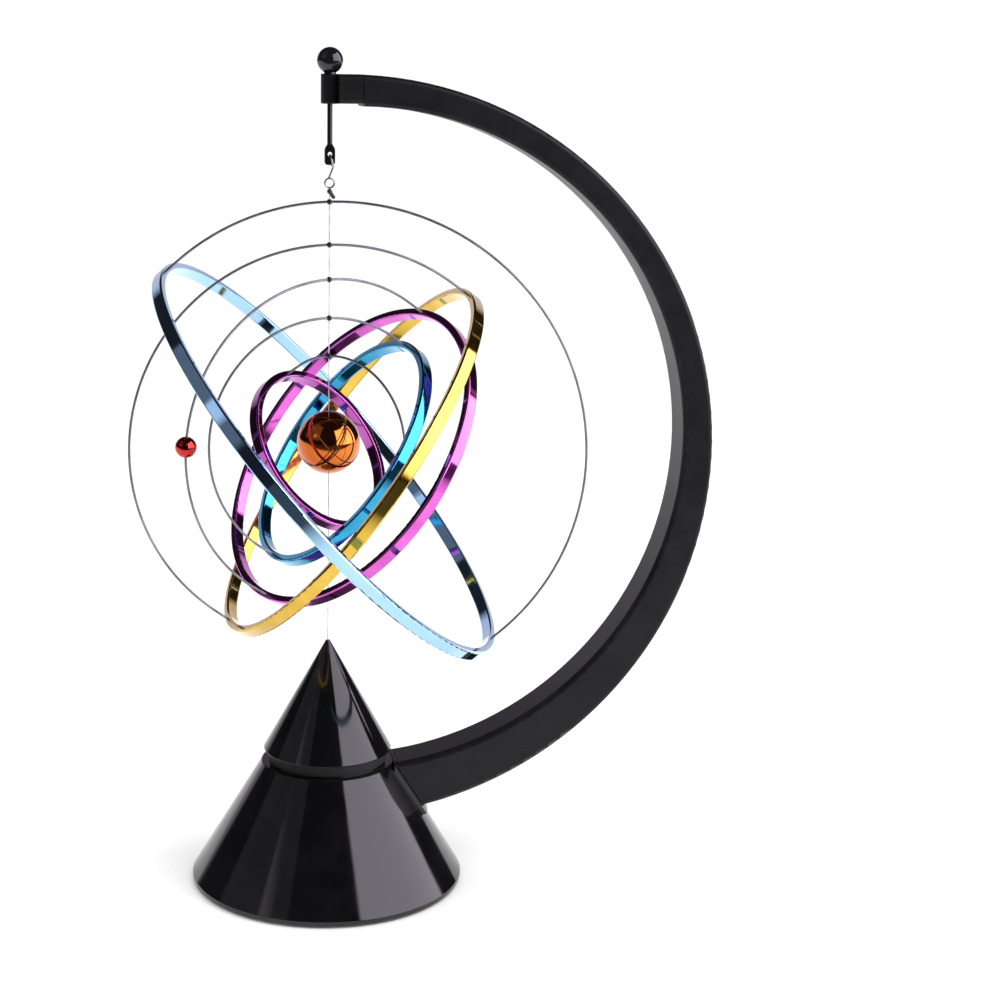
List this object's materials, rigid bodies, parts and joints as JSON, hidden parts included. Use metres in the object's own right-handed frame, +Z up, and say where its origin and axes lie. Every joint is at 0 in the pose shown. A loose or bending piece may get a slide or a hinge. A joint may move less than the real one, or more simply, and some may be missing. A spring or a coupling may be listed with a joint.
{
  "type": "orrery",
  "caption": "Desk orrery: a conical base and a C-shaped arm hang a thread with a mirror ball and nested tilted hoops that turn freely around it.",
  "frame": {"origin": "bottom centre of the bounding box, on the table plane; the thread hangs at x -0.0378 m, y 0.0001 m", "axes": "+Z up along the thread; +X from the thread towards the arm; +Y to the arm's left seen from above"},
  "size_m": [0.2334, 0.1944, 0.3334],
  "materials": {
    "base_gloss_black": "moulded plastic, high gloss, polished",
    "base_plate_black": "fine spark-eroded texture",
    "screw_steel": "bright zinc plated, slotted",
    "foot_rubber": "matt, slightly dusty",
    "tray_black": "fine texture",
    "cell_wrap": "printed plastic sleeve over a steel can, plain",
    "contact_steel": "nickel plated spring steel",
    "board_green": "solder mask, satin",
    "bobbin_white": "natural nylon",
    "coil_copper": "enamelled copper wire, close wound",
    "core_iron": "plain soft iron, turned",
    "capacitor_sleeve": "shrink sleeve",
    "transistor_black": "moulded epoxy",
    "magnet_nickel": "nickel plated",
    "holder_black": "moulded",
    "thread_nylon": "clear monofilament, looks grey",
    "knot_dark": "dark glue over the crimped thread end",
    "arm_satin_black": "moulded plastic, semi-gloss",
    "hanger_black": "black plated steel rod, gloss black knob",
    "hook_chrome": "bright drawn steel wire",
    "sun_copper_mirror": "metallised plastic ball, orange copper lacquer",
    "planet_red_mirror": "metallised plastic bead, red lacquer",
    "wire_steel": "drawn steel wire, grey",
    "bead_black": "small black bead at the wire's pivot",
    "hoop_blue_mirror": "vacuum-metallised plastic, light blue lacquer",
    "hoop_gold_mirror": "vacuum-metallised plastic, gold lacquer",
    "hoop_magenta_mirror": "vacuum-metallised plastic, magenta lacquer",
    "hoop_teal_mirror": "vacuum-metallised plastic, teal lacquer",
    "hoop_purple_mirror": "vacuum-metallised plastic, purple lacquer"
  },
  "bodies": {
    "root": {"lower_cone": "base_gloss_black", "upper_cone": "base_gloss_black", "base_plate": "base_plate_black", "base_screws": "screw_steel", "rubber_feet": "foot_rubber", "battery_tray": "tray_black", "battery_cells": "cell_wrap", "battery_contacts": "contact_steel", "circuit_board": "board_green", "board_screws": "screw_steel", "coil_bobbin": "bobbin_white", "coil_winding": "coil_copper", "coil_core": "core_iron", "capacitor": "capacitor_sleeve", "transistor": "transistor_black", "arm": "arm_satin_black", "arm_screws": "screw_steel", "hanger_bracket": "arm_satin_black"},
    "door": {"battery_door": "base_plate_black"},
    "hanger": {"hanger_knob": "hanger_black", "hanger_rod": "hanger_black", "s_hook": "hook_chrome", "thread_knot": "knot_dark"},
    "line": {"thread": "thread_nylon", "sun_ball": "sun_copper_mirror"},
    "carrier_blue": {"blue_wire": "wire_steel", "blue_hoop": "hoop_blue_mirror", "blue_bead": "bead_black"},
    "carrier_gold": {"gold_wire": "wire_steel", "gold_hoop": "hoop_gold_mirror", "gold_bead": "bead_black"},
    "carrier_magenta": {"magenta_wire": "wire_steel", "magenta_hoop": "hoop_magenta_mirror", "magenta_bead": "bead_black", "red_planet": "planet_red_mirror"},
    "carrier_teal": {"teal_wire": "wire_steel", "teal_hoop": "hoop_teal_mirror", "teal_bead": "bead_black"},
    "carrier_purple": {"purple_wire": "wire_steel", "purple_hoop": "hoop_purple_mirror", "purple_bead": "bead_black"},
    "bob": {"magnet": "magnet_nickel", "magnet_holder": "holder_black", "magnet_thread": "thread_nylon"}
  },
  "joints": [
    {"name": "door_hinge", "type": "hinge", "parent": "root", "child": "door", "pos_m": [-0.06887, 0.00009, 0.0016], "axis": [0, 1, 0], "range_deg": [0, 85]},
    {"name": "hanger_spin", "type": "hinge", "parent": "root", "child": "hanger", "pos_m": [-0.03827, 0.00009, 0.3178], "axis": [0, 0, 1], "continuous": true},
    {"name": "thread_twist", "type": "hinge", "parent": "hanger", "child": "line", "pos_m": [-0.03827, 0.00009, 0.276], "axis": [0, 0, 1], "continuous": true},
    {"name": "blue_spin", "type": "hinge", "parent": "line", "child": "carrier_blue", "pos_m": [-0.03827, 0.00009, 0.2752], "axis": [0, 0, 1], "continuous": true},
    {"name": "gold_spin", "type": "hinge", "parent": "line", "child": "carrier_gold", "pos_m": [-0.03827, 0.00009, 0.2587], "axis": [0, 0, 1], "continuous": true},
    {"name": "magenta_spin", "type": "hinge", "parent": "line", "child": "carrier_magenta", "pos_m": [-0.03827, 0.00009, 0.2453], "axis": [0, 0, 1], "continuous": true},
    {"name": "teal_spin", "type": "hinge", "parent": "line", "child": "carrier_teal", "pos_m": [-0.03827, 0.00009, 0.2303], "axis": [0, 0, 1], "continuous": true},
    {"name": "purple_spin", "type": "hinge", "parent": "line", "child": "carrier_purple", "pos_m": [-0.03827, 0.00009, 0.2154], "axis": [0, 0, 1], "continuous": true},
    {"name": "magnet_swing", "type": "hinge", "parent": "line", "child": "bob", "pos_m": [-0.03827, 0.00009, 0.09998], "axis": [0, 1, 0], "range_deg": [-6, 6]}
  ]
}
